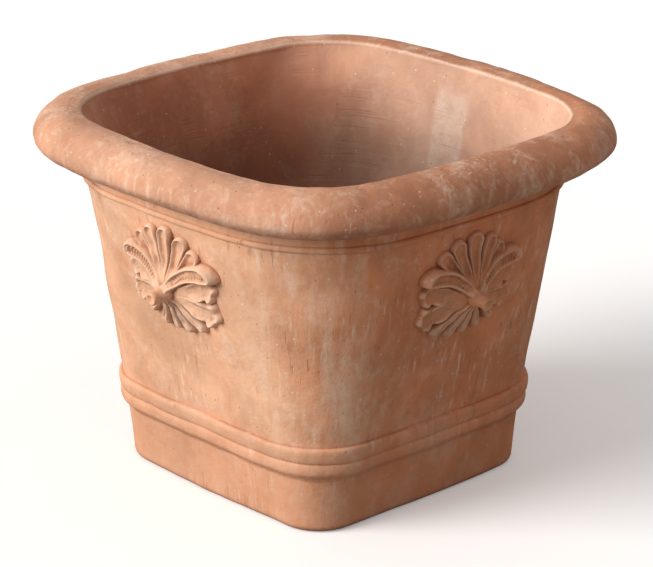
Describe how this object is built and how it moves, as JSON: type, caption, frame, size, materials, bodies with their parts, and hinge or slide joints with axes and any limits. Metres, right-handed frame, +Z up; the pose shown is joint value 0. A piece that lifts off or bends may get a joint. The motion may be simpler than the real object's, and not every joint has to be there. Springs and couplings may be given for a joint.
{
  "type": "square planter",
  "caption": "Square terracotta planter with tapered walls, a thick rolled rim, a double bead near the foot and a leaf in relief on each face.",
  "frame": {"origin": "on the surface that the planter stands on, under the middle of its plan", "axes": "+Z up; the front face looks along -Y and the right face along +X; all four faces are alike"},
  "size_m": [0.5, 0.5, 0.368],
  "materials": {
    "terracotta": "unglazed fired clay, matt, with pale lime bloom"
  },
  "bodies": {
    "root": {"base_slab": "terracotta", "front_wall": "terracotta", "right_wall": "terracotta", "back_wall": "terracotta", "left_wall": "terracotta", "waist_band": "terracotta", "neck_bead": "terracotta", "rim_roll": "terracotta", "front_leaf": "terracotta", "right_leaf": "terracotta", "back_leaf": "terracotta", "left_leaf": "terracotta"}
  },
  "joints": []
}
